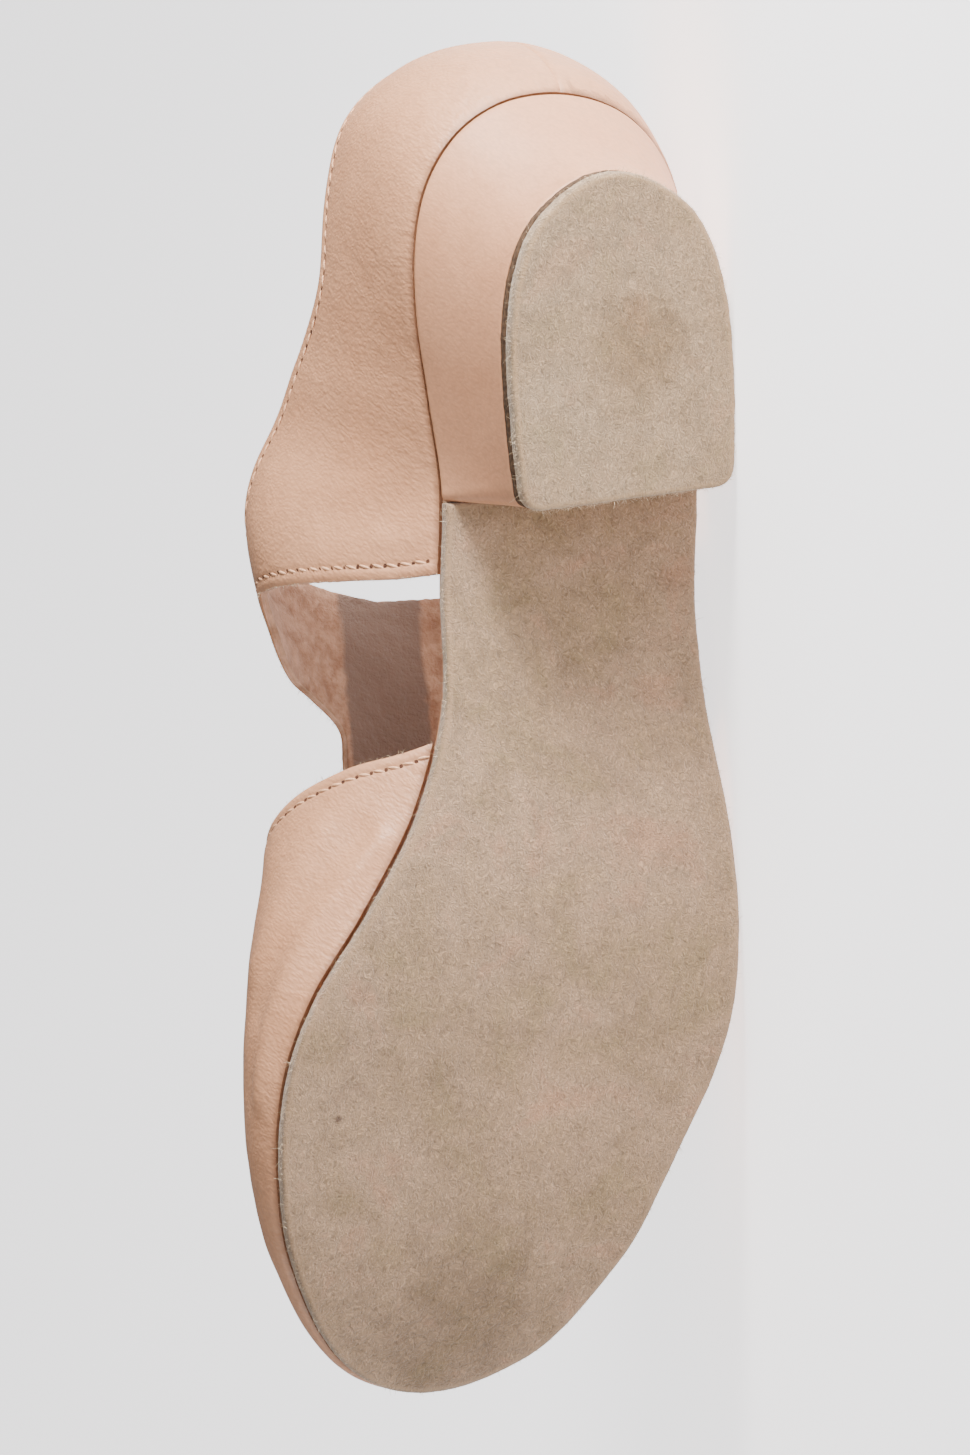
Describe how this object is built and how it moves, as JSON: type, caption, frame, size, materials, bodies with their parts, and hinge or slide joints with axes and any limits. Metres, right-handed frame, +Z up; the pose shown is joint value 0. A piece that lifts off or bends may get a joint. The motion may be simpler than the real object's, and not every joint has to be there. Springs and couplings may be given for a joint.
{
  "type": "dance teaching sandal",
  "caption": "Low-heeled T-bar dance sandal with closed toe and heel, side cut-outs and suede sole, right foot, lying on its outer side.",
  "frame": {"origin": "centre of the bounding box, at the surface that the shoe lies on", "axes": "toe towards -X; the sole faces about -Y and the collar about +Y, turned a little by the way the shoe lies; +Z up, on the inner side of the foot"},
  "size_m": [0.2354, 0.0896, 0.0922],
  "materials": {
    "upper_leather": "soft peach lambskin, fine grain, low sheen",
    "sock_leather": "plain smooth lining leather",
    "sole_suede": "brushed tan suede, matt nap",
    "heel_leather": "stretched smooth peach leather",
    "lift_board": "dark brown edge, matt",
    "heel_suede": "grey tan suede, worn matt nap"
  },
  "bodies": {
    "root": {"upper": "upper_leather", "insole": "sock_leather", "outsole": "sole_suede", "heel_block": "heel_leather", "heel_lift": "lift_board", "top_piece": "heel_suede"}
  },
  "joints": []
}
